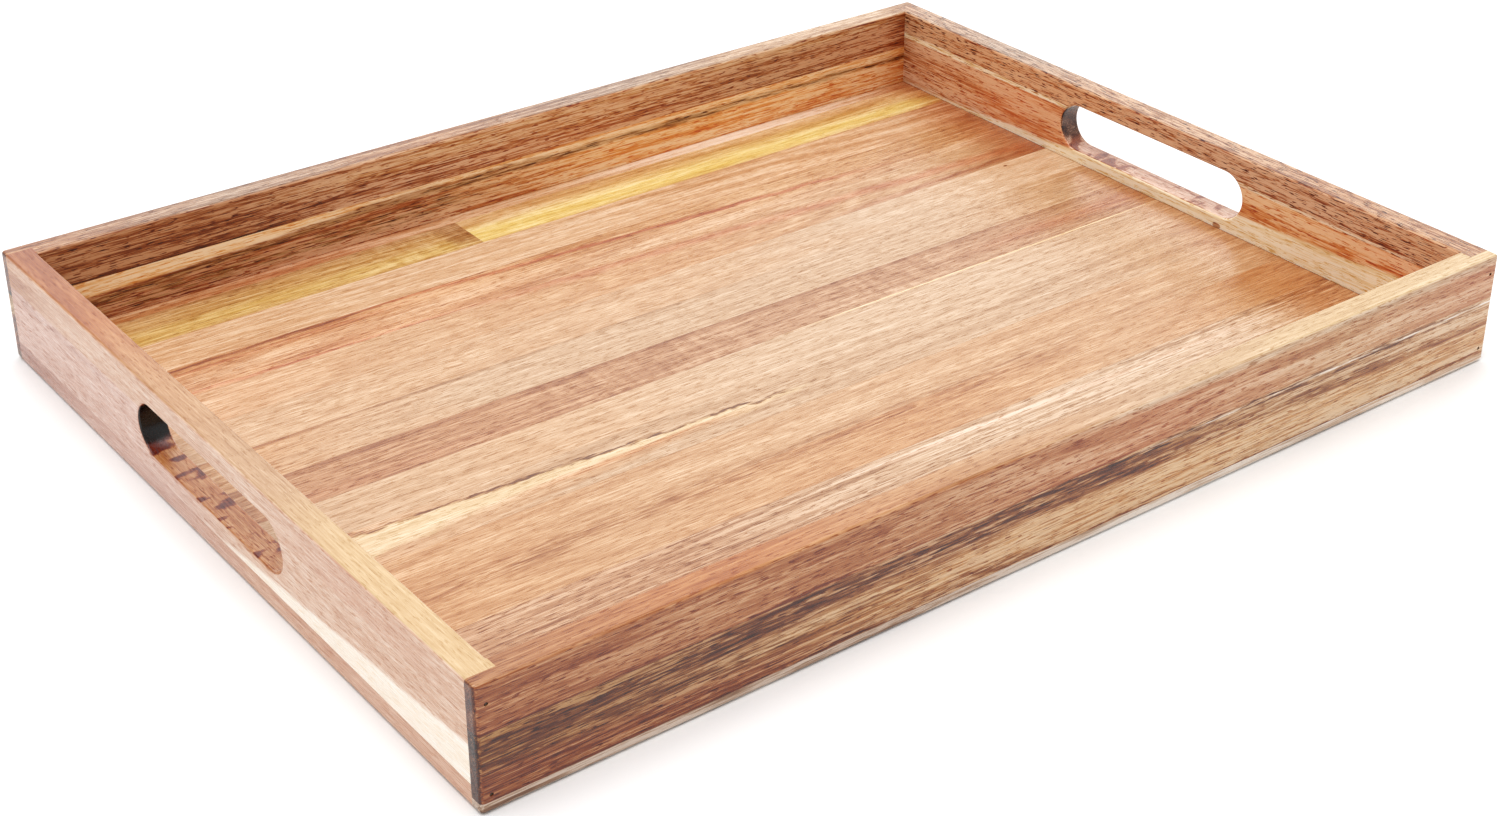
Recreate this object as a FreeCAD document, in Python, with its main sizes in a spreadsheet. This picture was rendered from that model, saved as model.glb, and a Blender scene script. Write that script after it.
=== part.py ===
"""Wooden serving tray: four laminated rails round an edge-glued floor panel.

Frame: X along the tray's long side, Y from the front rail to the back rail, Z up.
The origin is the middle of the footprint, on the surface that the tray stands on.
All sizes are in millimetres.
"""
import FreeCAD, Part
import os

import Sketcher

ORIGIN_POINT = (-1, 1)
TOLERANCE = 1e-4

# Driving dimensions: alias, value, what it is.
SIZES = [
    ("tray_length", 432, "over the left and right rails"),
    ("tray_width", 330, "over the front and back rails"),
    ("rail_height", 43.5, "from the table to the rim"),
    ("rail_thickness", 10, "of all four rails"),
    ("rabbet_depth", 5.2, "how far an end rail sits into a long rail"),
    ("panel_thickness", 6, "of the floor panel and of its groove"),
    ("panel_lift", 3.5, "clear space under the floor panel"),
    ("groove_depth", 4.5, "of the groove that holds the floor panel"),
    ("groove_gap", 0.5, "left for the panel to swell into"),
    ("back_stave_width", 10.5, "narrow stave against the back rail"),
    ("front_stave_width", 17.6, "narrow stave against the front rail"),
    ("butt_joint_x", -37, "end joint in the second stave"),
    ("long_lower_line", 3.7, "lower glue line of the front and back rails"),
    ("long_upper_line", 26.7, "upper glue line of the front and back rails"),
    ("end_lower_line", 8.1, "lower glue line of the left and right rails"),
    ("end_upper_line", 31.2, "upper glue line of the left and right rails"),
    ("slot_length", 103, "of a hand slot, over its round ends"),
    ("slot_height", 20, "of a hand slot, which is also its end diameter"),
    ("slot_drop", 1.9, "hand slot below mid-way from floor to rim"),
    ("slot_easing", 1.0, "rounding of the hand slot's edges"),
    ("corner_round", 1.5, "upright outer corners"),
    ("foot_round", 1.5, "lower outer edges"),
    ("rim_round", 1.0, "upper edges"),
    ("brad_diameter", 1.3, "of a brad nail"),
    ("brad_length", 20, "of a brad nail"),
    ("brad_sink", 0.4, "brad's head below the wood's surface"),
    ("brad_clearance", 1.9, "brad's centre line to the groove's floor"),
    ("low_brad_height", 6, "lower brads above the table"),
    ("high_brad_drop", 7, "upper brads below the rim"),
]

# Values worked out from the driving ones, as cells of their own.
DERIVED = [
    ("half_length", "=tray_length / 2"),
    ("half_width", "=tray_width / 2"),
    ("inner_half_length", "=half_length - rail_thickness"),
    ("inner_half_width", "=half_width - rail_thickness"),
    ("tongue_thickness", "=rail_thickness - rabbet_depth"),
    ("floor_height", "=panel_lift + panel_thickness"),
    ("panel_overhang", "=groove_depth - groove_gap"),
    ("panel_length", "=2 * (inner_half_length + panel_overhang)"),
    ("panel_width", "=2 * (inner_half_width + panel_overhang)"),
    ("slot_middle", "=(floor_height + rail_height) / 2 - slot_drop"),
    ("slot_radius", "=slot_height / 2"),
    ("slot_arc_y", "=slot_length / 2 - slot_radius"),
    ("brad_line_x", "=inner_half_length + groove_depth + brad_clearance"),
    ("high_brad_height", "=rail_height - high_brad_drop"),
]

FULL_STAVE_COUNT = 13
STAVE_COUNT = FULL_STAVE_COUNT + 2
BUTT_JOINTED_STAVE = 2
PANEL_LEFT = "-{panel_length} / 2"
PANEL_RIGHT = "{panel_length} / 2"
RAIL_KINDS = {"front": "long", "back": "long", "left": "end", "right": "end"}

doc = FreeCAD.newDocument("ServingTray")
sheet = doc.addObject("Spreadsheet::Sheet", "Sizes")
nodes = []


def fill_sheet():
    """Write the driving and derived sizes, each with its alias."""
    row = 1
    for alias, value, note in SIZES:
        sheet.set(f"A{row}", alias)
        sheet.set(f"B{row}", str(value))
        sheet.set(f"C{row}", note)
        sheet.setAlias(f"B{row}", alias)
        row += 1
    for alias, formula in DERIVED:
        sheet.set(f"A{row}", alias)
        sheet.set(f"B{row}", formula)
        sheet.setAlias(f"B{row}", alias)
        row += 1
    doc.recompute()


def size(alias):
    """A cell's value as a plain number."""
    return float(sheet.get(alias))


def expression(formula):
    """An expression for FreeCAD, from one whose sheet aliases are in braces."""
    return formula.replace("{", "Sizes.").replace("}", "")


def bind(thing, prop, formula):
    """Tie a property to an expression of sheet aliases written in braces."""
    thing.setExpression(prop, expression(formula))


def add_node(thing, label):
    """Keep a finished piece under the name of its node."""
    thing.Label = label
    nodes.append(thing)
    return thing


# ---------------------------------------------------------------- sketch helpers

def origin_plane(body, role):
    """One of the body's own origin planes."""
    return next(f for f in body.Origin.OriginFeatures if f.Role == role)


def new_sketch(body, name, role):
    """An empty sketch on one of the body's origin planes."""
    sketch = body.newObject("Sketcher::SketchObject", name)
    sketch.AttachmentSupport = [(origin_plane(body, role), "")]
    sketch.MapMode = "FlatFace"
    return sketch


def pin_point(sketch, point, formulas, guess):
    """Hold both coordinates of a sketch point at expressions."""
    for kind, formula, value in [("DistanceX", formulas[0], guess.x),
                                 ("DistanceY", formulas[1], guess.y)]:
        index = sketch.addConstraint(Sketcher.Constraint(kind, *ORIGIN_POINT, *point, value))
        bind(sketch, f"Constraints[{index}]", formula)


def draft_point(u, v):
    """Where two expressions put a point now, so that a sketch is drawn at its answer."""
    values = [float(sheet.evalExpression(expression(formula))) for formula in (u, v)]
    return FreeCAD.Vector(*values, 0)


def rectangle(body, name, half_x, half_y):
    """A rectangle about the origin in plan, from expressions for its half sizes."""
    sketch = new_sketch(body, name, "XY_Plane")
    corners = [(f"-({half_x})", f"-({half_y})"), (half_x, f"-({half_y})"),
               (half_x, half_y), (f"-({half_x})", half_y)]
    points = [draft_point(u, v) for u, v in corners]
    count = len(points)
    for i in range(count):
        sketch.addGeometry(Part.LineSegment(points[i], points[(i + 1) % count]), False)
    for i in range(count):
        sketch.addConstraint(Sketcher.Constraint("Coincident", i, 2, (i + 1) % count, 1))
    for i, formulas in enumerate(corners):
        pin_point(sketch, (i, 1), formulas, points[i])
    return sketch


def stadium(body, name, role):
    """The hand slot's outline: two straight edges joined by half circles."""
    sketch = new_sketch(body, name, role)
    reach, middle, radius = size("slot_arc_y"), size("slot_middle"), size("slot_radius")
    corners = [(-reach, middle - radius), (reach, middle - radius),
               (reach, middle + radius), (-reach, middle + radius)]
    low_left, low_right, high_right, high_left = [FreeCAD.Vector(u, v, 0) for u, v in corners]
    right_tip = FreeCAD.Vector(reach + radius, middle, 0)
    left_tip = FreeCAD.Vector(-reach - radius, middle, 0)
    bottom = sketch.addGeometry(Part.LineSegment(low_left, low_right), False)
    right = sketch.addGeometry(Part.Arc(low_right, right_tip, high_right), False)
    top = sketch.addGeometry(Part.LineSegment(high_right, high_left), False)
    left = sketch.addGeometry(Part.Arc(high_left, left_tip, low_left), False)
    for first, second in [((bottom, 2), (right, 1)), ((right, 2), (top, 1)),
                          ((top, 2), (left, 1)), ((left, 2), (bottom, 1))]:
        sketch.addConstraint(Sketcher.Constraint("Tangent", *first, *second))
    sketch.addConstraint(Sketcher.Constraint("Horizontal", bottom))
    for arc, formula, side in [(right, "{slot_arc_y}", 1), (left, "-{slot_arc_y}", -1)]:
        centre = FreeCAD.Vector(side * reach, middle, 0)
        pin_point(sketch, (arc, 3), (formula, "{slot_middle}"), centre)
    index = sketch.addConstraint(Sketcher.Constraint("Radius", right, radius))
    bind(sketch, f"Constraints[{index}]", "{slot_radius}")
    return sketch


def pad(body, sketch, formula):
    """Raise a sketch upwards by an expression."""
    feature = body.newObject("PartDesign::Pad", "Pad")
    feature.Profile = sketch
    bind(feature, "Length", formula)
    doc.recompute()
    return feature


def pocket(body, sketch, formula, both_ways=False):
    """Cut a sketch upwards, or equally to both sides of its plane, and check the volume."""
    before = body.Shape.Volume
    feature = body.newObject("PartDesign::Pocket", f"{sketch.Name}_cut")
    feature.Profile = sketch
    if both_ways:
        feature.SideType = "Symmetric"
    else:
        feature.Reversed = True
    bind(feature, "Length", formula)
    doc.recompute()
    if body.Shape.Volume > before - TOLERANCE:
        raise RuntimeError(f"{feature.Name} removed nothing")
    return feature


def round_edges(body, name, wanted, radius_alias):
    """Round every edge whose two ends and middle satisfy a test."""
    base = body.Tip
    chosen = []
    for number, edge in enumerate(base.Shape.Edges, start=1):
        middle = edge.valueAt((edge.FirstParameter + edge.LastParameter) / 2)
        points = [vertex.Point for vertex in edge.Vertexes] + [middle]
        if all(wanted(point) for point in points):
            chosen.append(f"Edge{number}")
    if not chosen:
        raise RuntimeError(f"{name} found no edge")
    feature = body.newObject("PartDesign::Fillet", name)
    feature.Base = (base, chosen)
    bind(feature, "Radius", "{" + radius_alias + "}")
    doc.recompute()
    return feature


def near(value, target):
    """Whether two coordinates are the same."""
    return abs(value - target) < TOLERANCE


# ---------------------------------------------------------------- frame

def frame_blank():
    """All four rails as one glued-up frame: panel groove, hand slots, sanded edges."""
    body = doc.addObject("PartDesign::Body", "frame_blank")
    pad(body, rectangle(body, "outside", "{half_length}", "{half_width}"), "{rail_height}")
    inside = rectangle(body, "inside", "{inner_half_length}", "{inner_half_width}")
    pocket(body, inside, "{rail_height}")
    groove = rectangle(body, "groove", "{inner_half_length} + {groove_depth}",
                       "{inner_half_width} + {groove_depth}")
    bind(groove, "AttachmentOffset.Base.z", "{panel_lift}")
    pocket(body, groove, "{panel_thickness}")
    pocket(body, stadium(body, "hand_slots", "YZ_Plane"), "{tray_length}", both_ways=True)
    sand_edges(body)
    return body


def sand_edges(body):
    """Round the frame's upright corners, its foot, its rim and its hand slots."""
    end_x, end_y, rim = size("half_length"), size("half_width"), size("rail_height")
    inner_x, inner_y = size("inner_half_length"), size("inner_half_width")
    floor, reach = size("floor_height"), size("slot_length") / 2

    def upright_corner(point):
        return near(abs(point.x), end_x) and near(abs(point.y), end_y)

    def outer_foot(point):
        outside = abs(point.x) > inner_x + TOLERANCE or abs(point.y) > inner_y + TOLERANCE
        return near(point.z, 0) and outside

    def slot_edge(point):
        on_face = near(abs(point.x), end_x) or near(abs(point.x), inner_x)
        return on_face and abs(point.y) < reach + TOLERANCE and floor < point.z < rim

    round_edges(body, "upright_corners", upright_corner, "corner_round")
    round_edges(body, "foot", outer_foot, "foot_round")
    round_edges(body, "rim", lambda point: near(point.z, rim), "rim_round")
    round_edges(body, "slot_easing", slot_edge, "slot_easing")


# ---------------------------------------------------------------- rails

def plan_box(name, low_x, low_y, length, width):
    """A box of the tray's full height over part of its footprint."""
    box = doc.addObject("Part::Box", name)
    bind(box, "Length", length)
    bind(box, "Width", width)
    bind(box, "Height", "{rail_height}")
    bind(box, "Placement.Base.x", low_x)
    bind(box, "Placement.Base.y", low_y)
    return box


def boolean(kind, name, base, tool):
    """A Part::Common or a Part::Cut of two objects."""
    result = doc.addObject(f"Part::{kind}", name)
    result.Base = base
    result.Tool = tool
    return result


def rail_blanks(frame):
    """The frame cut at its rabbets into end rails and, between them, long rails."""
    rabbet_y = "{half_width} - {tongue_thickness}"
    starts = {"left": "-{half_length}", "right": "{inner_half_length}"}
    regions = [plan_box(f"{name}_region", start, f"-({rabbet_y})", "{rail_thickness}",
                        f"2 * ({rabbet_y})") for name, start in starts.items()]
    blanks = {name: boolean("Common", f"{name}_blank", frame, region)
              for name, region in zip(starts, regions)}
    both_ends = doc.addObject("Part::Compound", "both_ends")
    both_ends.Links = regions
    for name, start in [("front", "-{half_width}"), ("back", "0")]:
        half = plan_box(f"{name}_region", "-{half_length}", start, "{tray_length}", "{half_width}")
        frame_half = boolean("Common", f"{name}_half", frame, half)
        blanks[name] = boolean("Cut", f"{name}_blank", frame_half, both_ends)
    return blanks


def strip_slab(name, bottom, top):
    """The height range of one lamination strip, as a box over the whole footprint."""
    slab = doc.addObject("Part::Box", name)
    bind(slab, "Length", "{tray_length}")
    bind(slab, "Width", "{tray_width}")
    bind(slab, "Height", f"{top} - {bottom}" if bottom != "0" else top)
    bind(slab, "Placement.Base.x", "-{half_length}")
    bind(slab, "Placement.Base.y", "-{half_width}")
    bind(slab, "Placement.Base.z", bottom)
    return slab


def strip_slabs(kind):
    """The three height ranges of the long rails or of the end rails."""
    lines = ["0", f"{{{kind}_lower_line}}", f"{{{kind}_upper_line}}", "{rail_height}"]
    words = ["bottom", "middle", "top"]
    return {word: strip_slab(f"{kind}_{word}_slab", lines[i], lines[i + 1])
            for i, word in enumerate(words)}


def rail_strips(name, blank, slabs, nail_holes):
    """Saw a rail blank into its glued strips and drill the strips for the brads."""
    for word, slab in slabs.items():
        strip = boolean("Common", f"{name}_{word}_strip", blank, slab)
        drilled = boolean("Cut", f"{name}_{word}_drilled", strip, nail_holes)
        add_node(drilled, f"{name}_rail_{word}_strip")


# ---------------------------------------------------------------- floor panel

def stave(label, start, width, left=PANEL_LEFT, right=PANEL_RIGHT):
    """One board of the floor panel, between two ends."""
    board = doc.addObject("Part::Box", label)
    bind(board, "Length", f"{right} - ({left})")
    bind(board, "Width", width)
    bind(board, "Height", "{panel_thickness}")
    bind(board, "Placement.Base.x", left)
    bind(board, "Placement.Base.y", start)
    bind(board, "Placement.Base.z", "{panel_lift}")
    return add_node(board, f"panel_stave_{label}")


def floor_panel():
    """Edge-glued staves from the back of the tray to the front."""
    full = f"({{panel_width}} - {{back_stave_width}} - {{front_stave_width}}) / {FULL_STAVE_COUNT}"
    back_joint = "{panel_width} / 2 - {back_stave_width}"
    stave("01", back_joint, "{back_stave_width}")
    for number in range(2, STAVE_COUNT):
        start = f"{back_joint} - {number - 1} * {full}"
        if number == BUTT_JOINTED_STAVE:
            stave(f"{number:02d}_left", start, full, right="{butt_joint_x}")
            stave(f"{number:02d}_right", start, full, left="{butt_joint_x}")
        else:
            stave(f"{number:02d}", start, full)
    stave(f"{STAVE_COUNT:02d}", "-{panel_width} / 2", "{front_stave_width}")


# ---------------------------------------------------------------- brads

def nail_cylinders(name, start_depth, length):
    """Eight cylinders that run in from the front and back faces, two at each corner."""
    cylinders = []
    for long_side in (-1, 1):
        for end_side in (-1, 1):
            for height in ("{low_brad_height}", "{high_brad_height}"):
                nail = doc.addObject("Part::Cylinder", f"{name}_{len(cylinders) + 1}")
                bind(nail, "Radius", "{brad_diameter} / 2")
                bind(nail, "Height", length)
                nail.Placement.Rotation = FreeCAD.Rotation(FreeCAD.Vector(1, 0, 0), 90 * long_side)
                bind(nail, "Placement.Base.x", f"{end_side} * {{brad_line_x}}")
                bind(nail, "Placement.Base.y", f"{long_side} * ({{half_width}} - {start_depth})")
                bind(nail, "Placement.Base.z", height)
                cylinders.append(nail)
    group = doc.addObject("Part::Compound", name)
    group.Links = cylinders
    return group


# ---------------------------------------------------------------- the whole tray

def build():
    """Make every piece in the document."""
    fill_sheet()
    nail_holes = nail_cylinders("nail_holes", "0", "{brad_sink} + {brad_length}")
    brads = nail_cylinders("brads", "{brad_sink}", "{brad_length}")
    slabs = {kind: strip_slabs(kind) for kind in ("long", "end")}
    for name, blank in rail_blanks(frame_blank()).items():
        rail_strips(name, blank, slabs[RAIL_KINDS[name]], nail_holes)
    floor_panel()
    add_node(brads, "corner_brads")
    doc.recompute()


def check():
    """Stop if any object failed or any piece is not a sound solid."""
    for thing in doc.Objects:
        if {"Invalid", "Error"} & set(thing.State):
            raise RuntimeError(f"{thing.Name} failed: {thing.State}")
    for node in nodes:
        shape = node.Shape
        if shape.isNull() or not shape.isValid() or not shape.Solids:
            raise RuntimeError(f"{node.Label} is not a valid solid")


def export():
    """Write each node to its own STEP file."""
    os.makedirs("parts", exist_ok=True)
    for node in nodes:
        node.Shape.exportStep(f"parts/{node.Label}.step")
        print(f"{node.Label}: {len(node.Shape.Solids)} solid(s), {node.Shape.Volume:.0f} mm3")


build()
check()
export()
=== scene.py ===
import math
from dataclasses import dataclass, field

import bpy
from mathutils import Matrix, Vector


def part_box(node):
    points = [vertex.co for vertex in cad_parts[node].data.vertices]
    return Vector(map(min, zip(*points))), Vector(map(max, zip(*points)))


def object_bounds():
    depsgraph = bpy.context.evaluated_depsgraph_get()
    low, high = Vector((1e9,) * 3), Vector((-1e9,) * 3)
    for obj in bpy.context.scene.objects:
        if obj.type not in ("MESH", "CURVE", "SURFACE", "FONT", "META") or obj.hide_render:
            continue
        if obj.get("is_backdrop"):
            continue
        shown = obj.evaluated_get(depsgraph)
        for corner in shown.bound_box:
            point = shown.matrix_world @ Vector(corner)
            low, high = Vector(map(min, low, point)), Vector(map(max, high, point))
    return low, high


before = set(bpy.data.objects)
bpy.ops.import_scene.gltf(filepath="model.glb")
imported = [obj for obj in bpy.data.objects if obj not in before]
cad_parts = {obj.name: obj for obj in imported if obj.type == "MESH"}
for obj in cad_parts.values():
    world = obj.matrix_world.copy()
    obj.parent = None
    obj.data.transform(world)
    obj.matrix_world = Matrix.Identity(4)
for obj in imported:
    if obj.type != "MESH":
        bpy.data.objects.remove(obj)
CAD_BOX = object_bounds()

MM = 0.001
PER_MM = 1 / MM

# The camera stands in front of the tray's left end and looks down across it.
CAMERA_AZIMUTH = -37.035
CAMERA_ELEVATION = 28.057
CAMERA_DISTANCE = 0.8813
CAMERA_LENS = 57.04
CAMERA_SHIFT = -0.052
CAMERA_AIM_OFFSET = Vector((0.0028, 0.0029, 0))

AXIS_X, AXIS_Y, AXIS_Z = range(3)

# Noise: how far its values spread, and what keeps the boards and their patterns apart.
NOISE_GAIN = 4.0
SEED_STEP = 37.3
NOISE_STEP = 5.7
FIRST_MARK = 21

# Grain. Darkness adds to the power that a tone is raised to. The first three are shares of a
# board's contrast.
RING_DARK = 1.0
STREAK_DARK = 0.8
FIBRE_DARK = 2.1
SWAY_SHARE = 1.3
RING_DETAIL = 3.0
DRIFT_SHARE = 0.05
FLECK_DARK = 0.34
PORE_EDGES = (0.35, 0.70)
PORE_COVER = 0.14
GAP_EDGES = (-0.2, 0.3)
SPOT_EDGES = (0.5, 1.3)
SPOT_RAGGED = 0.5
RIPPLE_FADE = 0.04
PALEST_POWER = 0.6

# Faces of a board, told apart by how squarely they lie along an axis of the frame.
FACE_ON = (0.55, 0.85)
SLOT_FACE = (0.3, 0.7)
RIM_DEPTH_MM = 1.5
RIM_CALM = 0.35
END_GRAIN_TINT = 0.9
SCORCH_DARK = 1.6
SCORCH_EDGES = (0.15, 0.5)
CUTTER_MARKS_PER_MM = (0.07, 0.14, 0.07)
CUTTER_DETAIL = 3.0

# Thin dark lines.
GLUE_LINE_MM = 0.25
GLUE_LINE_DARK = 0.25
# The shadow line is painted shade where the floor panel meets the rails.
SHADOW_LINE_MM = 0.6
SHADOW_LINE_DARK = 1.4

# Lacquer.
SATIN_ROUGHNESS = 0.27
FIBRE_ROUGHNESS = 0.03
PORE_ROUGHNESS = 0.15
LACQUER_IOR = 1.5
FIBRE_SINK = -0.25
PORE_SINK = -1.0
PORE_DEPTH = 0.1 * MM
BUMP_STRENGTH = 0.35

# Brads.
BLOTCHES_PER_METRE = 2500.0
BLOTCH_DETAIL = 3.0
BLOTCH_EDGES = (0.35, 0.65)
BRAD_ROUGHNESS = 0.6
BLOTCH_ROUGHNESS = -0.2
BRAD_METALLIC = 0.6

# Studio.
WORLD_STRENGTH = 0.75
PAPER_HALF = 12.0
PAPER_GAP = 0.2 * MM
PAPER_GREY = 0.88
PAPER_ROUGHNESS = 0.7
NEAREST_SEEN = 0.01

# Wood tones, named for how they look under the finish.
TONES = {
    # sapwood
    "ivory": "#f4e8d8", "cream": "#ecd5ac", "chalk": "#cfbaa6", "peach": "#dcc0a6",
    "wheat": "#cdb28a", "butter": "#ebc490",
    # light heartwood
    "light_tan": "#c8a27d", "honey_tan": "#c4976d", "oak_tan": "#bc946d", "pale_tan": "#be9d7c",
    "grey_tan": "#b79370", "biscuit": "#b88c62", "amber_tan": "#b78556", "copper": "#b37847",
    "grey_brown": "#a97a54", "nut_brown": "#a57148", "mushroom": "#b0937c", "driftwood": "#9d7c62",
    # yellow heartwood
    "olive": "#b6884e", "yellow_olive": "#cda968", "golden": "#c29154", "amber_gold": "#ce9c66",
    "lime_tan": "#c9a65c", "pale_lime": "#dfc67a",
    # rosy heartwood
    "dull_rose": "#ae8070", "rose": "#c49a88", "pale_rose": "#cda795", "rose_tan": "#c8997c",
    "sand": "#cea68a",
    # dark and red heartwood
    "rust": "#ab6e43", "sienna": "#bb7e55", "red_brown": "#99582f", "rust_red": "#ae653a",
    "burnt_gold": "#c17d4d", "bright_gold": "#dd9f66", "straw_gold": "#e6ac6c", "flame": "#d78b57",
    "chestnut": "#935d33", "slot_brown": "#b06c3a", "umber": "#7e4719", "dark_umber": "#4a2c1c",
    "black_brown": "#241412",
    # brads
    "dull_steel": "#6b5c50",
}


# ---------------------------------------------------------------- what a board looks like

@dataclass
class Band:
    """A stripe along a board, between two straight lines given in shares of its size."""
    start: float
    end: float
    low: tuple
    high: tuple
    tone: str = ""
    amount: float = 1.0
    dark: float = 0.0
    soft: float = 0.03
    fade: float = 0.08
    wobble: float = 0.06
    broken: float = 0.0


@dataclass
class Spot:
    """A knot, stain or fleck: its middle in shares of the board, its half size in millimetres."""
    along: float
    across: float
    half_along: float
    half_across: float
    tone: str = ""
    dark: float = 0.0


@dataclass
class Ripple:
    """Cross-grain shimmer over a stretch of the board."""
    start: float
    end: float
    amount: float


@dataclass
class Board:
    """One glued strip or stave. Tones run from its left or back end to the other end."""
    tones: list
    contrast: float = 0.16
    flecks: float = 1.0
    pores: float = 0.3
    spacing: float = 5.0
    pith: tuple = (60.0, 40.0)
    taper: float = 0.0
    end_dark: float = 0.5
    rim: list = field(default_factory=list)
    wall: str = ""
    marks: list = field(default_factory=list)


@dataclass
class Figure:
    """A noise pattern: the size of its lumps along and across the grain, and its own number."""
    long_mm: float
    cross_mm: float
    number: int = 0
    detail: float = 2.0
    roughness: float = 0.5


SWAY = Figure(110, 40, 1)
DRIFT = Figure(60, 14, 2)
STREAKS = Figure(70, 2.2, 3)
FIBRES = Figure(45, 0.65, 4, detail=3, roughness=0.7)
PORES = Figure(5, 0.5, 5, detail=1)
FLECKS = Figure(10, 0.42, 6, detail=2, roughness=0.6)
WANDER = Figure(22, 9, 19, detail=4, roughness=0.6)

# A mark uses one of these with the mark's own number.
SHIMMER = Figure(4.5, 12)
GAPS = Figure(11, 0.9)
RAGGED_EDGE = Figure(4, 3)


# ---------------------------------------------------------------- the boards

def whole_width(start, end, **looks):
    """A band over the whole width of a board."""
    return Band(start, end, (-1, -1), (2, 2), **looks)


# Most staves get a painted reflection of the right rail, with painted shade, at their right end,
# where the floor panel meets the right rail.
FAR_END_PAINTED_REFLECTION_AND_SHADE = whole_width(0.95, 1.3, tone="rust_red", amount=0.6, dark=0.4, fade=0.045)
RAIL_REFLECTION_PAINTED_AT_END = whole_width(0.97, 1.3, tone="copper", amount=0.8, dark=0.2, fade=0.045)
WIDE_PAINTED_RAIL_REFLECTION = whole_width(0.92, 1.3, tone="copper", amount=0.8, dark=0.2, fade=0.045)

# Painted shade darkens the back rail and the right one where they meet in the corner.
PAINTED_CORNER_SHADE = whole_width(0.965, 1.3, dark=0.9, fade=0.02)
PAINTED_SHADE_AT_START = whole_width(-0.3, 0.02, dark=0.5, fade=0.05)

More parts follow.
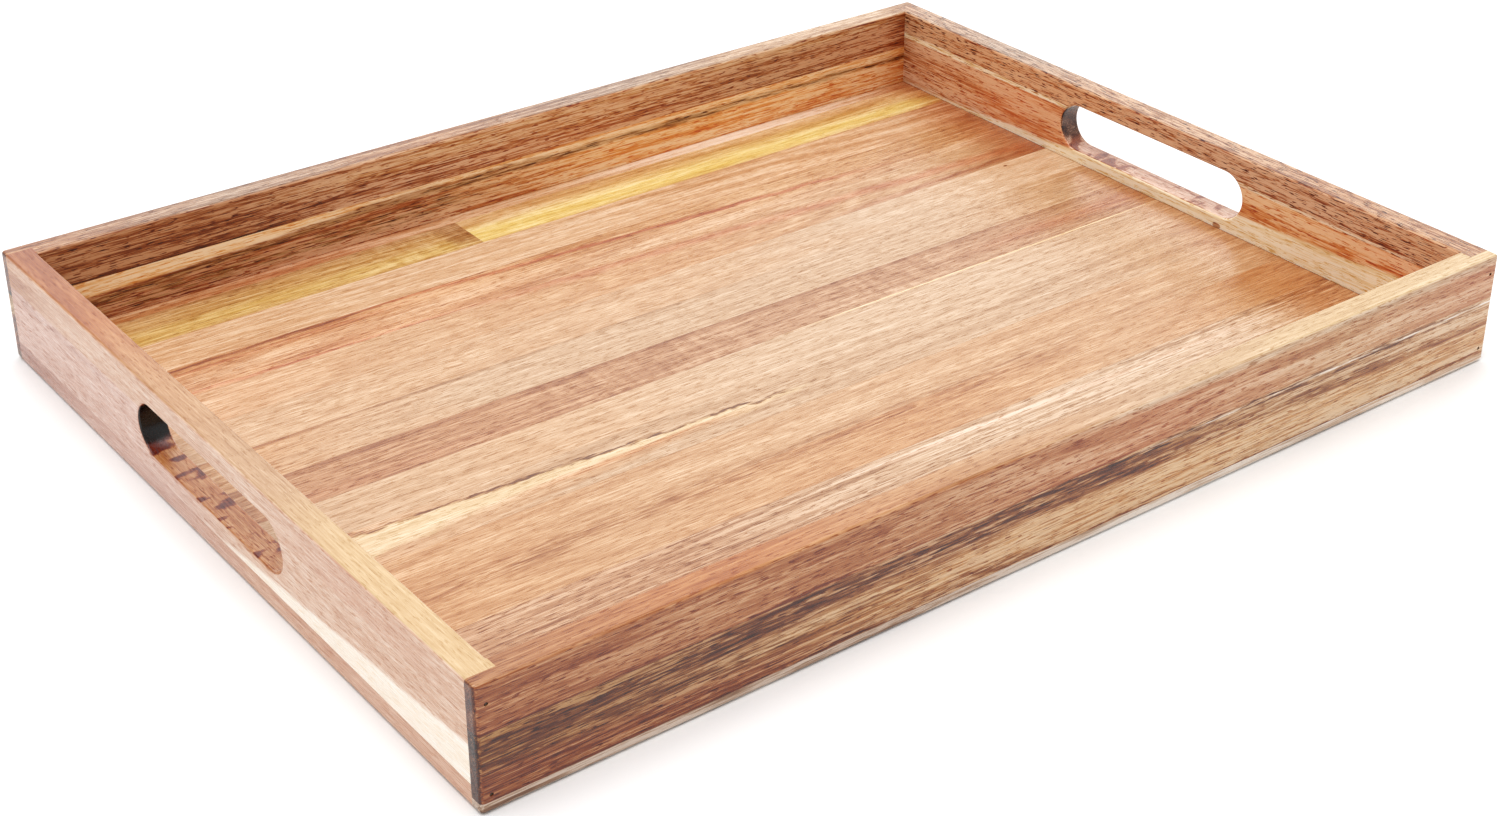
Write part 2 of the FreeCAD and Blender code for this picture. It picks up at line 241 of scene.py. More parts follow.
FLOOR_BOARDS = {
    "panel_stave_01": Board(
        ["copper", "sienna", "honey_tan", "peach", "honey_tan"], contrast=0.22, pores=0.6,
        marks=[FAR_END_PAINTED_REFLECTION_AND_SHADE]),
    "panel_stave_02_left": Board(
        ["olive", "olive", "olive"], contrast=0.24, pores=0.6, spacing=7, marks=[
            Band(-0.1, 1.0, (0.02, 0.02), (0.50, 0.42), tone="lime_tan", amount=0.75, soft=0.15,
                 broken=0.4),
            Band(-0.1, 1.2, (0.90, 0.80), (1.2, 1.2), tone="nut_brown", amount=0.6, soft=0.15),
            Band(0.94, 1.2, (0.15, 0.15), (1.2, 1.2), tone="chestnut", amount=0.7, fade=0.02,
                 soft=0.2),
            Ripple(0.74, 1.2, 0.20)]),
    "panel_stave_02_right": Board(
        ["yellow_olive", "yellow_olive", "yellow_olive", "golden"], contrast=0.22, pores=0.5,
        marks=[
            Band(-0.1, 1.1, (0.02, 0.10), (0.55, 0.42), tone="pale_lime", amount=0.9, soft=0.12,
                 broken=0.3),
            Band(-0.1, 1.2, (0.66, 0.76), (1.1, 1.1), tone="honey_tan", amount=0.6, soft=0.15),
            Ripple(0.06, 0.16, 0.20), FAR_END_PAINTED_REFLECTION_AND_SHADE]),
    "panel_stave_03": Board(
        ["honey_tan", "light_tan", "light_tan", "honey_tan", "honey_tan"], contrast=0.23, pores=0.5,
        spacing=2.4, pith=(-14.0, -22.0), taper=0.05, marks=[Ripple(0.55, 1.1, 0.10), FAR_END_PAINTED_REFLECTION_AND_SHADE]),
    "panel_stave_04": Board(
        ["copper", "copper", "amber_tan", "amber_tan", "amber_tan"], contrast=0.26,
        pores=0.6, spacing=2.2, pith=(2.0, -60.0), taper=0.03, marks=[
            Band(-0.1, 0.42, (0.80, 1.00), (0.90, 1.08), tone="red_brown", dark=0.2, soft=0.04),
            Band(-0.1, 0.32, (0.66, 0.76), (0.72, 0.82), tone="rust_red", amount=0.7, soft=0.04),
            Band(0.22, 0.80, (1.02, 0.32), (1.12, 0.42), tone="rust_red", dark=0.15, soft=0.05),
            Band(-0.1, 0.35, (0.10, -0.06), (0.20, 0.04), tone="rust_red", amount=0.9, soft=0.04),
            Band(-0.1, 0.60, (0.35, 0.30), (0.60, 0.50), tone="honey_tan", amount=0.7, soft=0.15),
            Band(0.45, 1.2, (0.10, -0.1), (0.30, 0.10), tone="light_tan", amount=0.6, soft=0.15),
            FAR_END_PAINTED_REFLECTION_AND_SHADE]),
    "panel_stave_05": Board(
        ["honey_tan", "biscuit", "amber_tan", "biscuit", "biscuit"], contrast=0.13,
        spacing=2.0, pith=(0.0, -16.0), taper=0.12, marks=[
            Band(0.34, 1.2, (0.90, 0.02), (1.06, 0.30), tone="rust_red", amount=0.7, soft=0.12),
            Band(0.74, 1.2, (0.0, 0.05), (0.14, 0.34), tone="red_brown", amount=0.9, soft=0.10),
            FAR_END_PAINTED_REFLECTION_AND_SHADE]),
    "panel_stave_06": Board(
        ["oak_tan", "oak_tan", "oak_tan", "pale_tan", "light_tan"], contrast=0.07, flecks=1.4,
        marks=[
            Spot(0.927, 0.86, 1.0, 0.7, dark=1.8),
            Band(0.15, 0.75, (0.75, 0.05), (0.95, 0.30), tone="biscuit", amount=0.35, soft=0.2)]),
    "panel_stave_07": Board(
        ["amber_tan", "grey_tan", "grey_tan", "grey_tan", "biscuit"], contrast=0.12, pores=0.5,
        spacing=2.5, marks=[
            Band(-0.1, 0.55, (0.92, 0.98), (1.1, 1.1), dark=0.5, soft=0.05),
            RAIL_REFLECTION_PAINTED_AT_END]),
    "panel_stave_08": Board(
        ["nut_brown", "nut_brown", "grey_brown", "grey_brown", "nut_brown"], contrast=0.15,
        pores=0.5, spacing=3, marks=[
            Band(-0.1, 0.25, (0.02, 0.10), (0.34, 0.26), tone="red_brown", amount=0.45, soft=0.15),
            Band(-0.1, 0.85, (0.84, 0.86), (1.1, 1.1), dark=0.3, soft=0.08, broken=0.5),
            Band(0.55, 1.1, (-0.06, -0.06), (0.03, 0.035), tone="cream", amount=0.9, soft=0.02,
                 wobble=0.01),
            Band(0.80, 1.1, (0.35, 0.25), (0.60, 0.70), tone="rust_red", amount=0.45, soft=0.15),
            Ripple(0.30, 0.50, 0.22), Ripple(0.60, 0.75, 0.22),
            RAIL_REFLECTION_PAINTED_AT_END]),
    "panel_stave_09": Board(
        ["grey_tan", "oak_tan", "pale_tan", "pale_tan", "oak_tan"], contrast=0.10, pores=0.45,
        spacing=2.4, pith=(-30.0, -25.0), taper=0.03, marks=[RAIL_REFLECTION_PAINTED_AT_END]),
    "panel_stave_10": Board(
        ["honey_tan", "grey_tan", "grey_tan", "grey_tan", "biscuit"], contrast=0.12, pores=0.45,
        marks=[
            Band(-0.1, 0.485, (0.19, 0.43), (1.07, 0.46), tone="wheat", soft=0.05,
                 fade=0.02, wobble=0.12),
            Band(0.12, 0.42, (0.02, 0.34), (0.40, 0.46), tone="biscuit", amount=0.8, soft=0.06),
            Band(0.22, 0.40, (0.32, 0.40), (0.46, 0.46), tone="copper", amount=0.9, soft=0.04),
            Band(-0.1, 0.50, (1.04, 0.44), (1.12, 0.50), dark=2.0, soft=0.02, wobble=0.12,
                 broken=0.8),
            RAIL_REFLECTION_PAINTED_AT_END]),
    "panel_stave_11": Board(
        ["amber_tan", "biscuit", "oak_tan", "biscuit", "oak_tan"], contrast=0.09, flecks=1.2,
        marks=[
            Band(0.10, 0.75, (0.0, 0.02), (0.10, 0.12), dark=0.6, soft=0.05, broken=0.8),
            RAIL_REFLECTION_PAINTED_AT_END]),
    "panel_stave_12": Board(
        ["amber_tan", "biscuit", "amber_tan", "biscuit", "amber_tan"], contrast=0.11,
        spacing=2.4, pith=(3.0, -18.0), taper=-0.10, marks=[
            Band(0.05, 0.72, (0.74, 0.72), (1.05, 1.02), dark=0.55, soft=0.15, broken=0.9),
            WIDE_PAINTED_RAIL_REFLECTION]),
    "panel_stave_13": Board(
        ["grey_brown", "grey_brown", "grey_tan", "pale_tan", "oak_tan"], contrast=0.28,
        pores=0.7, spacing=2.5, marks=[
            Band(0.45, 0.90, (0.80, 0.62), (0.90, 0.68), tone="peach", amount=0.6, soft=0.05),
            Band(0.70, 1.1, (0.80, 0.70), (1.1, 1.1), dark=0.6, soft=0.08, broken=0.9),
            WIDE_PAINTED_RAIL_REFLECTION]),
    "panel_stave_14": Board(["rust", "sienna", "biscuit", "honey_tan"], contrast=0.16),
    "panel_stave_15": Board(["grey_brown", "amber_tan", "honey_tan"], contrast=0.16, pores=0.5),
}

RAIL_BOARDS = {
    "front_rail_bottom_strip": Board(
        ["mushroom", "mushroom", "mushroom", "chalk", "chalk", "peach"], contrast=0.60,
        flecks=2.0, end_dark=0.1),
    "front_rail_middle_strip": Board(
        ["umber", "chestnut", "nut_brown", "amber_tan", "biscuit", "honey_tan"], contrast=0.42,
        pores=1.0, flecks=1.8, spacing=3, pith=(-40.0, 60.0), marks=[
            Band(0.20, 1.2, (0.10, 0.10), (0.62, 0.50), tone="amber_gold", amount=0.7, soft=0.15,
                 broken=0.5),
            Band(0.45, 0.97, (0.90, 0.84), (1.02, 1.0), tone="umber", amount=0.6, dark=0.8,
                 soft=0.05, broken=0.95),
            Band(-0.1, 0.62, (0.70, 0.66), (1.0, 0.98), tone="umber", amount=0.6, dark=0.8,
                 soft=0.08, broken=0.8),
            Band(-0.1, 0.35, (0.40, 0.30), (0.60, 0.52), tone="umber", amount=0.6, dark=0.5,
                 soft=0.08, broken=0.8),
            Band(0.40, 0.97, (0.72, 0.52), (0.92, 0.66), dark=0.9, soft=0.06, broken=0.9),
            Band(-0.1, 0.28, (-0.2, -0.2), (0.50, 0.25), tone="red_brown", amount=0.9, dark=0.5,
                 soft=0.15),
            Band(0.37, 0.50, (0.06, 0.05), (0.24, 0.20), dark=1.1, soft=0.05, broken=0.9),
            Band(0.20, 1.1, (-0.02, -0.02), (0.03, 0.04), dark=1.4, soft=0.02, broken=0.8),
            Band(0.60, 1.1, (0.94, 0.90), (0.97, 0.93), tone="ivory", amount=0.8, soft=0.015,
                 wobble=0.01, broken=0.8)]),
    "front_rail_top_strip": Board(
        ["red_brown", "rust", "rust", "sienna", "honey_tan", "sienna"],
        rim=["nut_brown", "copper", "biscuit", "pale_tan", "wheat", "wheat"],
        contrast=0.22, pores=0.8, flecks=1.2, marks=[
            Band(-0.1, 0.45, (0.45, 0.50), (0.62, 0.74), dark=0.6, soft=0.1, broken=0.9),
            Band(0.55, 0.80, (0.30, 0.55), (0.40, 0.70), dark=0.7, soft=0.06, broken=0.9),
            Band(-0.1, 0.55, (-0.02, -0.02), (0.05, 0.04), dark=1.2, soft=0.02, broken=0.7),
            Band(0.50, 1.1, (0.92, 0.78), (1.1, 1.1), tone="pale_tan", amount=0.8, soft=0.10)]),
    "back_rail_bottom_strip": Board(["mushroom", "chalk", "chalk"], contrast=0.12),
    "back_rail_middle_strip": Board(
        ["rust_red", "rust_red", "burnt_gold", "straw_gold", "straw_gold", "bright_gold"],
        contrast=0.44, pores=1.2, flecks=2.6, spacing=3, marks=[
            Band(-0.1, 0.34, (0.58, 0.90), (1.1, 1.1), tone="butter", soft=0.03, wobble=0.03),
            Band(0.25, 1.1, (0.90, 0.90), (0.99, 0.97), tone="butter", amount=0.8, soft=0.03,
                 wobble=0.04),
            Band(0.0, 0.36, (0.48, 0.80), (0.60, 0.92), tone="umber", amount=0.9, soft=0.04,
                 wobble=0.03, broken=0.3),
            Band(0.30, 1.1, (0.76, 0.76), (0.90, 0.86), tone="umber", amount=0.9, soft=0.04,
                 broken=0.5),
            Band(-0.1, 0.45, (0.25, 0.40), (0.50, 0.70), tone="umber", amount=0.9, soft=0.10,
                 broken=0.8),
            Band(0.45, 0.95, (0.30, 0.30), (0.60, 0.60), dark=0.6, soft=0.10, broken=0.9),
            PAINTED_CORNER_SHADE]),
    "back_rail_top_strip": Board(
        ["red_brown", "red_brown", "sienna", "burnt_gold", "rust", "rust_red"],
        rim=["nut_brown", "driftwood", "grey_brown", "driftwood", "grey_tan", "pale_tan"],
        contrast=0.50, pores=1.4, flecks=2.6, spacing=2.4, marks=[
            Band(-0.1, 0.30, (-0.02, 0.0), (0.08, 0.05), dark=1.6, soft=0.03, broken=0.4),
            Band(0.25, 0.70, (0.55, 0.35), (0.85, 0.60), tone="amber_gold", amount=0.7, soft=0.2,
                 broken=0.5),
            Band(0.15, 0.75, (0.20, 0.30), (0.50, 0.55), dark=1.0, soft=0.1, broken=0.9),
            Band(0.35, 1.0, (0.70, 0.80), (1.0, 1.0), tone="amber_gold", amount=0.8, soft=0.1,
                 broken=0.6),
            PAINTED_CORNER_SHADE]),
    "left_rail_bottom_strip": Board(
        ["dull_rose", "rose", "rose", "rose_tan", "rose_tan", "rose_tan"], contrast=0.09),
    # The strong end darkness here is partly end grain and scorch, partly painted shade on the hand
    # slot's end wall.
    "left_rail_middle_strip": Board(
        ["rose", "pale_rose", "pale_rose", "sand", "sand", "sand"], contrast=0.09, pores=0.6,
        flecks=1.3, end_dark=2.2, wall="slot_brown", marks=[
            Band(-0.1, 0.30, (0.86, 0.86), (0.94, 0.93), tone="dull_rose", amount=0.6, soft=0.06),
            Band(0.50, 1.2, (-0.2, -0.2), (0.02, 0.82), tone="ivory", soft=0.05, wobble=0.03)]),
    # The strong end darkness here is partly end grain and scorch, partly painted shade on the hand
    # slot's end wall.
    "left_rail_top_strip": Board(
        ["rust", "sand", "sand", "sand", "rose_tan", "sand"],
        rim=["red_brown", "copper", "oak_tan", "pale_tan", "wheat", "wheat"],
        contrast=0.14, pores=0.5, flecks=1.2, end_dark=2.2, wall="slot_brown", spacing=3,
        pith=(-20.0, 30.0), taper=0.03),
    "right_rail_bottom_strip": Board(["golden", "honey_tan", "peach"], contrast=0.12),
    # This hand slot's pale rose wall tone is partly painted sheen, the haze of light on its bottom
    # wall.
    "right_rail_middle_strip": Board(
        ["sienna", "flame", "burnt_gold", "bright_gold", "flame"], contrast=0.36, pores=1.4,
        flecks=2.0, end_dark=0.7, wall="rose_tan", marks=[
            Band(-0.1, 0.30, (-0.2, -0.2), (0.14, 0.16), tone="cream", amount=0.5, soft=0.06,
                 broken=0.5),
            Band(0.62, 0.95, (0.55, 0.60), (0.72, 0.78), dark=0.7, soft=0.06, broken=0.8),
            Band(0.0, 1.2, (-0.2, -0.2), (0.02, 0.84), tone="cream", soft=0.04, wobble=0.03),
            Spot(0.625, 0.10, 2.2, 1.2, tone="red_brown"),
            PAINTED_SHADE_AT_START]),
    "right_rail_top_strip": Board(
        ["rust", "burnt_gold", "burnt_gold", "sienna", "sienna", "burnt_gold"],
        rim=["grey_brown", "driftwood", "grey_brown", "grey_brown", "nut_brown", "nut_brown"],
        contrast=0.52, pores=3.6, flecks=5.5, end_dark=0.7, spacing=3, marks=[
            Band(-0.1, 0.40, (0.00, 0.0), (0.22, 0.14), tone="cream", amount=0.9, soft=0.05,
                 wobble=0.03),
            Band(0.60, 0.90, (0.00, 0.0), (0.14, 0.08), tone="cream", amount=0.6, soft=0.04),
            PAINTED_SHADE_AT_START]),
}


# ---------------------------------------------------------------- node graph helpers

def linear_colour(hex_text):
    """A colour written as #rrggbb, as linear light by the sRGB curve."""
    parts = [int(hex_text[i:i + 2], 16) / 255 for i in (1, 3, 5)]
    light = [p / 12.92 if p <= 0.04045 else ((p + 0.055) / 1.055) ** 2.4 for p in parts]
    return (*light, 1.0)


class Graph:
    """A material's node graph, built by short calls that take and return sockets."""

    def __init__(self, name):
        self.material = bpy.data.materials.new(name)
        self.material.use_nodes = True
        self.tree = self.material.node_tree
        self.shader = self.tree.nodes["Principled BSDF"]

    def node(self, kind, **settings):
        made = self.tree.nodes.new(f"ShaderNode{kind}")
        for key, value in settings.items():
            setattr(made, key, value)
        return made

    def feed(self, socket, value):
        """Join a socket to another, or give it a plain value."""
        if isinstance(value, bpy.types.NodeSocket):
            self.tree.links.new(value, socket)
        else:
            socket.default_value = value

    def maths(self, operation, *values):
        made = self.node("Math", operation=operation)
        for socket, value in zip(made.inputs, values):
            self.feed(socket, value)
        return made.outputs[0]

    def total(self, *values):
        result = values[0]
        for value in values[1:]:
            result = self.maths("ADD", result, value)
        return result

    def square(self, value):
        return self.maths("MULTIPLY", value, value)

    def vector(self, operation, *values):
        made = self.node("VectorMath", operation=operation)
        for socket, value in zip(made.inputs, values):
            self.feed(socket, value)
        return made.outputs[0]

    def ease(self, value, low, high, from_zero=True):
        """A smooth step from 0 at low to 1 at high, or the other way."""
        made = self.node("MapRange", interpolation_type="SMOOTHSTEP")
        self.feed(made.inputs["Value"], value)
        self.feed(made.inputs["From Min"], low)
        self.feed(made.inputs["From Max"], high)
        made.inputs["To Min"].default_value = 0.0 if from_zero else 1.0
        made.inputs["To Max"].default_value = 1.0 if from_zero else 0.0
        return made.outputs["Result"]

    def mix(self, amount, first, second):
        made = self.node("Mix", data_type="RGBA")
        self.feed(made.inputs["Factor"], amount)
        colours = [s for s in made.inputs if s.type == "RGBA"]
        self.feed(colours[0], first)
        self.feed(colours[1], second)
        return next(s for s in made.outputs if s.type == "RGBA")

    def ramp(self, amount, tones):
        """Tones spread evenly from 0 to 1."""
        made = self.node("ValToRGB")
        stops = made.color_ramp.elements
        while len(stops) < len(tones):
            stops.new(0.5)
        for i, tone in enumerate(tones):
            stops[i].position = i / (len(tones) - 1)
            stops[i].color = linear_colour(TONES[tone])
        self.feed(made.inputs[0], amount)
        return made.outputs["Color"]

    def centred(self, noise_node):
        """A noise node's value, widened and moved to lie about 0."""
        return self.maths("MULTIPLY_ADD", noise_node.outputs[0], NOISE_GAIN, -NOISE_GAIN / 2)


class BoardGraph(Graph):
    """The graph of one board, with its grain running along one axis of the frame."""

    def __init__(self, name, along_axis, across_axis, deep_axis, seed):
        super().__init__(f"{name}_wood")
        low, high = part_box(name)
        self.seed = seed
        self.axis = along_axis
        place = self.node("TexCoord").outputs["Object"]
        self.millimetres = self.vector("MULTIPLY", place, (PER_MM,) * 3)
        split = self.node("SeparateXYZ")
        self.feed(split.inputs[0], self.millimetres)
        self.xyz = split.outputs
        self.along = self.xyz[along_axis]
        self.length = (high[along_axis] - low[along_axis]) * PER_MM
        self.width = (high[across_axis] - low[across_axis]) * PER_MM
        middle = (low[across_axis] + high[across_axis]) / 2 * PER_MM
        face = (low[deep_axis] if abs(low[deep_axis]) > abs(high[deep_axis])
                else high[deep_axis]) * PER_MM
        self.across = self.maths("SUBTRACT", self.xyz[across_axis], middle)
        self.deep = self.maths("SUBTRACT", self.xyz[deep_axis], face)
        start = low[along_axis] * PER_MM
        if along_axis == AXIS_Y:
            start = high[along_axis] * PER_MM
            self.length = -self.length
        self.share_along = self.share(self.along, start, self.length)
        self.share_across = self.share(self.across, -self.width / 2, self.width)
        self.wander = self.noise(WANDER)

    def share(self, value, start, span):
        moved = self.maths("SUBTRACT", value, start)
        return self.maths("DIVIDE", moved, span)

    def noise(self, figure, mark_number=0):
        """A figure's noise, about 0, at its own place in this board's wood."""
        number = figure.number + mark_number
        scale = [1 / figure.cross_mm] * 3
        scale[self.axis] = 1 / figure.long_mm
        offset = [self.seed * SEED_STEP + number * NOISE_STEP] * 3
        made = self.node("TexNoise")
        spread = self.vector("MULTIPLY_ADD", self.millimetres, tuple(scale), tuple(offset))
        self.feed(made.inputs["Vector"], spread)
        made.inputs["Scale"].default_value = 1.0
        made.inputs["Detail"].default_value = figure.detail
        made.inputs["Roughness"].default_value = figure.roughness
        return self.centred(made)

    def growth_rings(self, board):
        """Uneven bands round a pith, which may lie beside the board or under its face."""
        pith_across, pith_deep = board.pith
        sway = self.maths("MULTIPLY", self.noise(SWAY), board.spacing * SWAY_SHARE)
        aside = self.maths("SUBTRACT", self.total(self.across, sway), pith_across)
        down = self.maths("SUBTRACT", self.deep, pith_deep)
        squares = self.total(self.square(aside), self.square(down))
        radius = self.maths("SQRT", squares)
        cone = self.maths("MULTIPLY_ADD", self.along, board.taper, radius)
        made = self.node("TexNoise", noise_dimensions="1D")
        self.feed(made.inputs["W"], self.maths("DIVIDE", cone, board.spacing))
        made.inputs["Scale"].default_value = 1.0
        made.inputs["Detail"].default_value = RING_DETAIL
        return self.centred(made)

    def line(self, mark_start, mark_end, shares):
        """A straight line's share across the board, at every share along it."""
        made = self.node("MapRange", clamp=False)
        self.feed(made.inputs["Value"], self.share_along)
        for name, value in [("From Min", mark_start), ("From Max", mark_end),
                            ("To Min", shares[0]), ("To Max", shares[1])]:
            made.inputs[name].default_value = value
        return made.outputs["Result"]

    def stretch(self, start, end, fade):
        """1 between two shares along the board, fading to 0 outside them."""
        rise = self.ease(self.share_along, start - fade, start + fade)
        fall = self.ease(self.share_along, end - fade, end + fade, from_zero=False)
        return self.maths("MULTIPLY", rise, fall)

    def band_mask(self, band, number):
        sway = self.maths("MULTIPLY", self.wander, band.wobble)
        place = self.maths("ADD", self.share_across, sway)
        above = self.maths("SUBTRACT", place, self.line(band.start, band.end, band.low))
        below = self.maths("SUBTRACT", self.line(band.start, band.end, band.high), place)
        inside = self.maths("MULTIPLY", self.ease(above, -band.soft, band.soft),
                            self.ease(below, -band.soft, band.soft))
        mask = self.maths("MULTIPLY", inside, self.stretch(band.start, band.end, band.fade))
        if band.broken:
            gaps = self.ease(self.noise(GAPS, number), *GAP_EDGES)
            gaps = self.maths("MULTIPLY_ADD", gaps, band.broken, 1 - band.broken)
            mask = self.maths("MULTIPLY", mask, gaps)
        return mask

    def spot_mask(self, spot, number):
        along = self.maths("SUBTRACT", self.share_along, spot.along)
        along = self.maths("MULTIPLY", along, self.length / spot.half_along)
        across = self.maths("SUBTRACT", self.share_across, spot.across)
        across = self.maths("MULTIPLY", across, self.width / spot.half_across)
        squares = self.total(self.square(along), self.square(across))
        ragged = self.maths("MULTIPLY", self.noise(RAGGED_EDGE, number), SPOT_RAGGED)
        return self.ease(self.total(squares, ragged), *SPOT_EDGES, from_zero=False)


# ---------------------------------------------------------------- wood

def add_ripple(graph, ripple, number, darkness):
    """Lay shimmer across the grain over a stretch of the board."""
    shimmer = graph.noise(SHIMMER, number)
    mask = graph.stretch(ripple.start, ripple.end, RIPPLE_FADE)
    lift = graph.maths("MULTIPLY", graph.maths("MULTIPLY", shimmer, mask), ripple.amount)
    return graph.total(darkness, lift)


def add_marks(graph, board, tone, darkness):
    """Lay the board's bands, spots and ripples over its plain grain."""
    for number, mark in enumerate(board.marks, FIRST_MARK):
        if isinstance(mark, Ripple):
            darkness = add_ripple(graph, mark, number, darkness)
            continue
        is_band = isinstance(mark, Band)
        mask = graph.band_mask(mark, number) if is_band else graph.spot_mask(mark, number)
        if mark.tone:
            amount = graph.maths("MULTIPLY", mask, mark.amount) if is_band else mask
            tone = graph.mix(amount, tone, linear_colour(TONES[mark.tone]))
        if mark.dark:
            darkness = graph.total(darkness, graph.maths("MULTIPLY", mask, mark.dark))
    return tone, darkness


def facing(graph, axis, edges=FACE_ON):
    """1 where the surface faces along an axis of the frame, either way."""
    split = graph.node("SeparateXYZ")
    graph.feed(split.inputs[0], graph.node("TexCoord").outputs["Normal"])
    return graph.ease(graph.maths("ABSOLUTE", split.outputs[axis]), *edges)


def rim_face(graph):
    """1 on the flat top of a rail."""
    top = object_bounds()[1].z * PER_MM
    level = graph.ease(graph.xyz[AXIS_Z], top - RIM_DEPTH_MM, top)
    return graph.maths("MULTIPLY", level, facing(graph, AXIS_Z))


def slot_wall(graph):
    """1 on the inside of a hand slot, the only place near an end rail's middle that faces
    neither outwards, inwards nor up from the rim."""
    inner_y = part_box("back_rail_top_strip")[0].y * PER_MM
    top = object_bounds()[1].z * PER_MM
    slot_end = inner_y / 3
    past_slot = inner_y / 2
    off_middle = graph.maths("ABSOLUTE", graph.along)
    near_middle = graph.ease(off_middle, slot_end, past_slot, from_zero=False)
    below_rim = graph.ease(graph.xyz[AXIS_Z], top - RIM_DEPTH_MM, top, from_zero=False)
    sideways = graph.maths("SUBTRACT", 1.0, facing(graph, AXIS_X, SLOT_FACE))
    return graph.maths("MULTIPLY", sideways, graph.maths("MULTIPLY", near_middle, below_rim))


def cutter_marks(graph):
    """Short uneven bars across an end rail, where a cutter scorched its hand slot."""
    made = graph.node("TexNoise")
    spread = graph.vector("MULTIPLY", graph.millimetres, CUTTER_MARKS_PER_MM)
    graph.feed(made.inputs["Vector"], spread)
    made.inputs["Scale"].default_value = 1.0
    made.inputs["Detail"].default_value = CUTTER_DETAIL
    return graph.ease(graph.centred(made), *SCORCH_EDGES)


def glue_lines(graph):
    """Thin lines along the board's two glued edges."""
    half = graph.maths("ABSOLUTE", graph.across)
    return graph.ease(half, graph.width / 2 - GLUE_LINE_MM, graph.width / 2)


def rail_shadow(graph):
    """A thin line of painted shade where the floor panel meets the rails."""
    inner_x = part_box("right_rail_top_strip")[0].x * PER_MM
    inner_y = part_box("back_rail_top_strip")[0].y * PER_MM
    lines = [graph.ease(graph.maths("ABSOLUTE", graph.xyz[axis]), edge - SHADOW_LINE_MM, edge)
             for axis, edge in ((AXIS_X, inner_x), (AXIS_Y, inner_y))]
    return graph.maths("MAXIMUM", *lines)


def plain_grain(graph, board, fibres, pores):
    """Growth rings, streaks, fibres, flecks and pores added up as darkness."""
    parts = [(graph.growth_rings(board), board.contrast * RING_DARK),
             (graph.noise(STREAKS), board.contrast * STREAK_DARK),
             (fibres, board.contrast * FIBRE_DARK),
             (graph.noise(FLECKS), FLECK_DARK * board.flecks),
             (graph.maths("SUBTRACT", pores, PORE_COVER), board.pores)]
    return graph.total(*[graph.maths("MULTIPLY", value, weight) for value, weight in parts])


def add_rim(graph, rim_tones, place, tone, darkness):
    """Give a rail's flat top tones of its own, and a calmer grain."""
    rim = rim_face(graph)
    calm = graph.maths("MULTIPLY_ADD", rim, -RIM_CALM, 1.0)
    return (graph.mix(rim, tone, graph.ramp(place, rim_tones)),
            graph.maths("MULTIPLY", darkness, calm))


def add_slot_wall(graph, wall_tone, tone, darkness):
    """Give the inside of a hand slot its own tone, with scorch marks. On the right rail that pale
    tone is partly painted sheen, the haze of light on the slot's bottom wall.
    """
    wall = slot_wall(graph)
    scorch = graph.maths("MULTIPLY", cutter_marks(graph), SCORCH_DARK)
    return (graph.mix(wall, tone, linear_colour(TONES[wall_tone])),
            graph.total(darkness, graph.maths("MULTIPLY", scorch, wall)))


def add_edges(graph, board, tone, darkness):
    """Darken the board's end grain and its two glue lines. A large end_dark, as on the left rail,
    darkens the hand slot's end walls both as end grain and as painted shade.
    """
    ends = facing(graph, graph.axis)
    tint = graph.maths("MULTIPLY", ends, END_GRAIN_TINT * min(1.0, board.end_dark))
    return (graph.mix(tint, tone, linear_colour(TONES["dark_umber"])),
            graph.total(darkness, graph.maths("MULTIPLY", ends, board.end_dark),
                        graph.maths("MULTIPLY", glue_lines(graph), GLUE_LINE_DARK)))


def paint(graph, tone, darkness):
    """Colour the surface with a tone raised to the power 1 plus its darkness."""
    power = graph.maths("MAXIMUM", graph.total(1.0, darkness), PALEST_POWER)
    gamma = graph.node("Gamma")
    graph.feed(gamma.inputs["Color"], tone)
    graph.feed(gamma.inputs["Gamma"], power)
    graph.feed(graph.shader.inputs["Base Color"], gamma.outputs["Color"])


def wood_material(name, board, axes, seed):
    """Lacquered hardwood: tones along the board, darkened by its grain."""
    graph = BoardGraph(name, *axes, seed)
    drift = graph.maths("MULTIPLY", graph.noise(DRIFT), DRIFT_SHARE)
    place = graph.maths("ADD", graph.share_along, drift)
    fibres = graph.noise(FIBRES)
    pores = graph.ease(graph.noise(PORES), *PORE_EDGES)
    tone = graph.ramp(place, board.tones)
    darkness = plain_grain(graph, board, fibres, pores)
    tone, darkness = add_marks(graph, board, tone, darkness)
    if board.rim:
        tone, darkness = add_rim(graph, board.rim, place, tone, darkness)
    if board.wall:
        tone, darkness = add_slot_wall(graph, board.wall, tone, darkness)
    tone, darkness = add_edges(graph, board, tone, darkness)
    if name.startswith("panel"):
        shadow = graph.maths("MULTIPLY", rail_shadow(graph), SHADOW_LINE_DARK)
        darkness = graph.total(darkness, shadow)
    paint(graph, tone, darkness)
    satin_surface(graph, fibres, pores)
    return graph.material


def satin_surface(graph, fibres, pores):
    """Satin lacquer that sinks a little into the pores and over the fibres."""
    rough = graph.total(SATIN_ROUGHNESS, graph.maths("MULTIPLY", fibres, FIBRE_ROUGHNESS),
                        graph.maths("MULTIPLY", pores, PORE_ROUGHNESS))
    graph.feed(graph.shader.inputs["Roughness"], rough)
    graph.shader.inputs["IOR"].default_value = LACQUER_IOR
    depth = graph.total(graph.maths("MULTIPLY", fibres, FIBRE_SINK),
                        graph.maths("MULTIPLY", pores, PORE_SINK))
    bump = graph.node("Bump")
    bump.inputs["Strength"].default_value = BUMP_STRENGTH
    bump.inputs["Distance"].default_value = PORE_DEPTH
    graph.feed(bump.inputs["Height"], depth)
    graph.feed(graph.shader.inputs["Normal"], bump.outputs["Normal"])


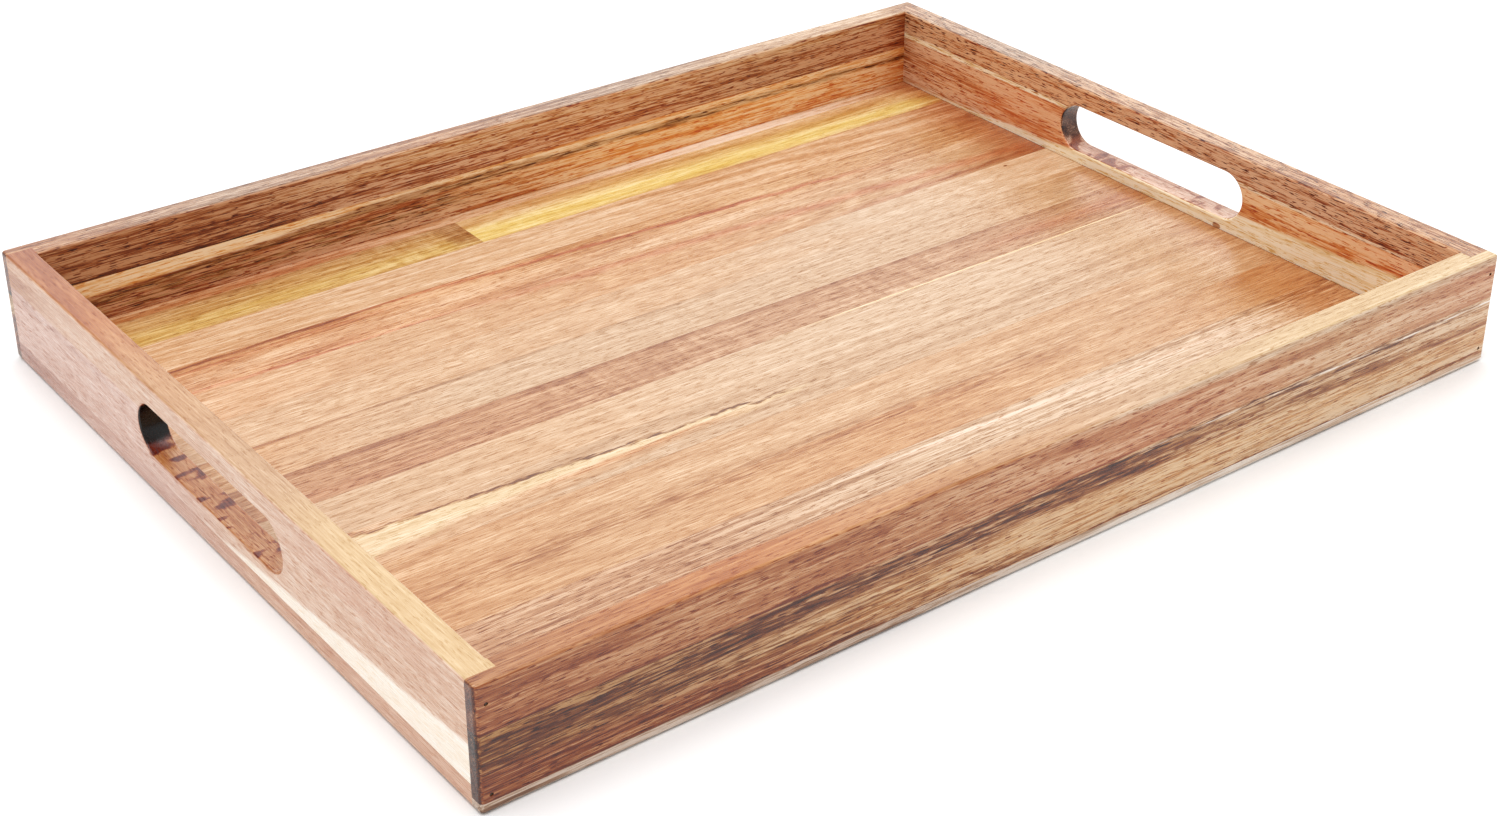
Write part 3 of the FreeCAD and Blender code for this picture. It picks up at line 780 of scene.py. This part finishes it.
def brad_material():
    """Dull steel nail heads, browned by the finish that fills their holes."""
    graph = Graph("brad_steel")
    place = graph.node("TexCoord").outputs["Object"]
    blotches = graph.node("TexNoise")
    graph.feed(blotches.inputs["Vector"], place)
    blotches.inputs["Scale"].default_value = BLOTCHES_PER_METRE
    blotches.inputs["Detail"].default_value = BLOTCH_DETAIL
    amount = graph.ease(blotches.outputs[0], *BLOTCH_EDGES)
    colours = [linear_colour(TONES[tone]) for tone in ("black_brown", "dull_steel")]
    rough = graph.maths("MULTIPLY_ADD", amount, BLOTCH_ROUGHNESS, BRAD_ROUGHNESS)
    graph.feed(graph.shader.inputs["Base Color"], graph.mix(amount, *colours))
    graph.feed(graph.shader.inputs["Roughness"], rough)
    graph.shader.inputs["Metallic"].default_value = BRAD_METALLIC
    return graph.material


def dress(node, material):
    """Give a CAD node its one material."""
    node.data.materials.clear()
    node.data.materials.append(material)


def board_axes(name):
    """The axes along a board's grain, across it and through it."""
    if name.startswith("panel"):
        return AXIS_X, AXIS_Y, AXIS_Z
    if name.startswith(("left", "right")):
        return AXIS_Y, AXIS_Z, AXIS_X
    return AXIS_X, AXIS_Z, AXIS_Y


def dress_all():
    """Every board gets its own wood, and the brads their steel."""
    for seed, (name, board) in enumerate({**FLOOR_BOARDS, **RAIL_BOARDS}.items(), 1):
        dress(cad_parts[name], wood_material(name, board, board_axes(name), seed))
    dress(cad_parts["corner_brads"], brad_material())


# ---------------------------------------------------------------- studio

def direction(azimuth, elevation):
    """The unit vector from the tray towards a point at that azimuth and elevation in degrees."""
    turn, tilt = math.radians(azimuth), math.radians(elevation)
    return Vector((math.sin(turn) * math.cos(tilt), -math.cos(turn) * math.cos(tilt),
                   math.sin(tilt)))


def place_facing(thing, aim, azimuth, elevation, distance):
    """Put a camera or a lamp at a distance from a point, facing it."""
    bpy.context.scene.collection.objects.link(thing)
    away = direction(azimuth, elevation)
    thing.location = aim + away * distance
    thing.rotation_mode = "QUATERNION"
    thing.rotation_quaternion = (-away).to_track_quat("-Z", "Y")


def make_camera():
    """The camera, aimed at the middle of the tray's floor."""
    low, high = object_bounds()
    aim = (low + high) / 2 + CAMERA_AIM_OFFSET
    aim.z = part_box("panel_stave_08")[1].z
    data = bpy.data.cameras.new("camera")
    data.lens = CAMERA_LENS
    data.shift_y = CAMERA_SHIFT
    data.clip_start = NEAREST_SEEN
    camera = bpy.data.objects.new("camera", data)
    place_facing(camera, aim, CAMERA_AZIMUTH, CAMERA_ELEVATION, CAMERA_DISTANCE)
    bpy.context.scene.camera = camera


def make_lamp(name, azimuth, elevation, distance, width, height, watts):
    """A soft rectangular lamp."""
    data = bpy.data.lights.new(name, "AREA")
    data.shape = "RECTANGLE"
    data.size = width
    data.size_y = height
    data.energy = watts
    lamp = bpy.data.objects.new(name, data)
    place_facing(lamp, Vector((0, 0, 0)), azimuth, elevation, distance)


def make_studio():
    """White surroundings, a soft box overhead and a white wall behind the tray."""
    world = bpy.data.worlds.new("studio")
    world.use_nodes = True
    background = world.node_tree.nodes["Background"]
    background.inputs["Color"].default_value = (1, 1, 1, 1)
    background.inputs["Strength"].default_value = WORLD_STRENGTH
    bpy.context.scene.world = world
    make_lamp("overhead_softbox", azimuth=-60, elevation=80, distance=1.6,
              width=1.4, height=1.4, watts=22)
    make_lamp("back_wall", azimuth=143, elevation=28, distance=1.8,
              width=2.6, height=1.5, watts=12)
    bpy.context.scene.view_settings.view_transform = "Standard"


def make_ground():
    """White paper under the tray."""
    corners = [(x * PAPER_HALF, y * PAPER_HALF, 0)
               for x, y in ((-1, -1), (1, -1), (1, 1), (-1, 1))]
    mesh = bpy.data.meshes.new("white_paper")
    mesh.from_pydata(corners, [], [(0, 1, 2, 3)])
    ground = bpy.data.objects.new("white_paper", mesh)
    bpy.context.scene.collection.objects.link(ground)
    ground.location.z = CAD_BOX[0].z - PAPER_GAP
    graph = Graph("paper")
    graph.shader.inputs["Base Color"].default_value = (*[PAPER_GREY] * 3, 1)
    graph.shader.inputs["Roughness"].default_value = PAPER_ROUGHNESS
    mesh.materials.append(graph.material)
    ground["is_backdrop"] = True


# ---------------------------------------------------------------- the scene

make_camera()
make_studio()
make_ground()
dress_all()
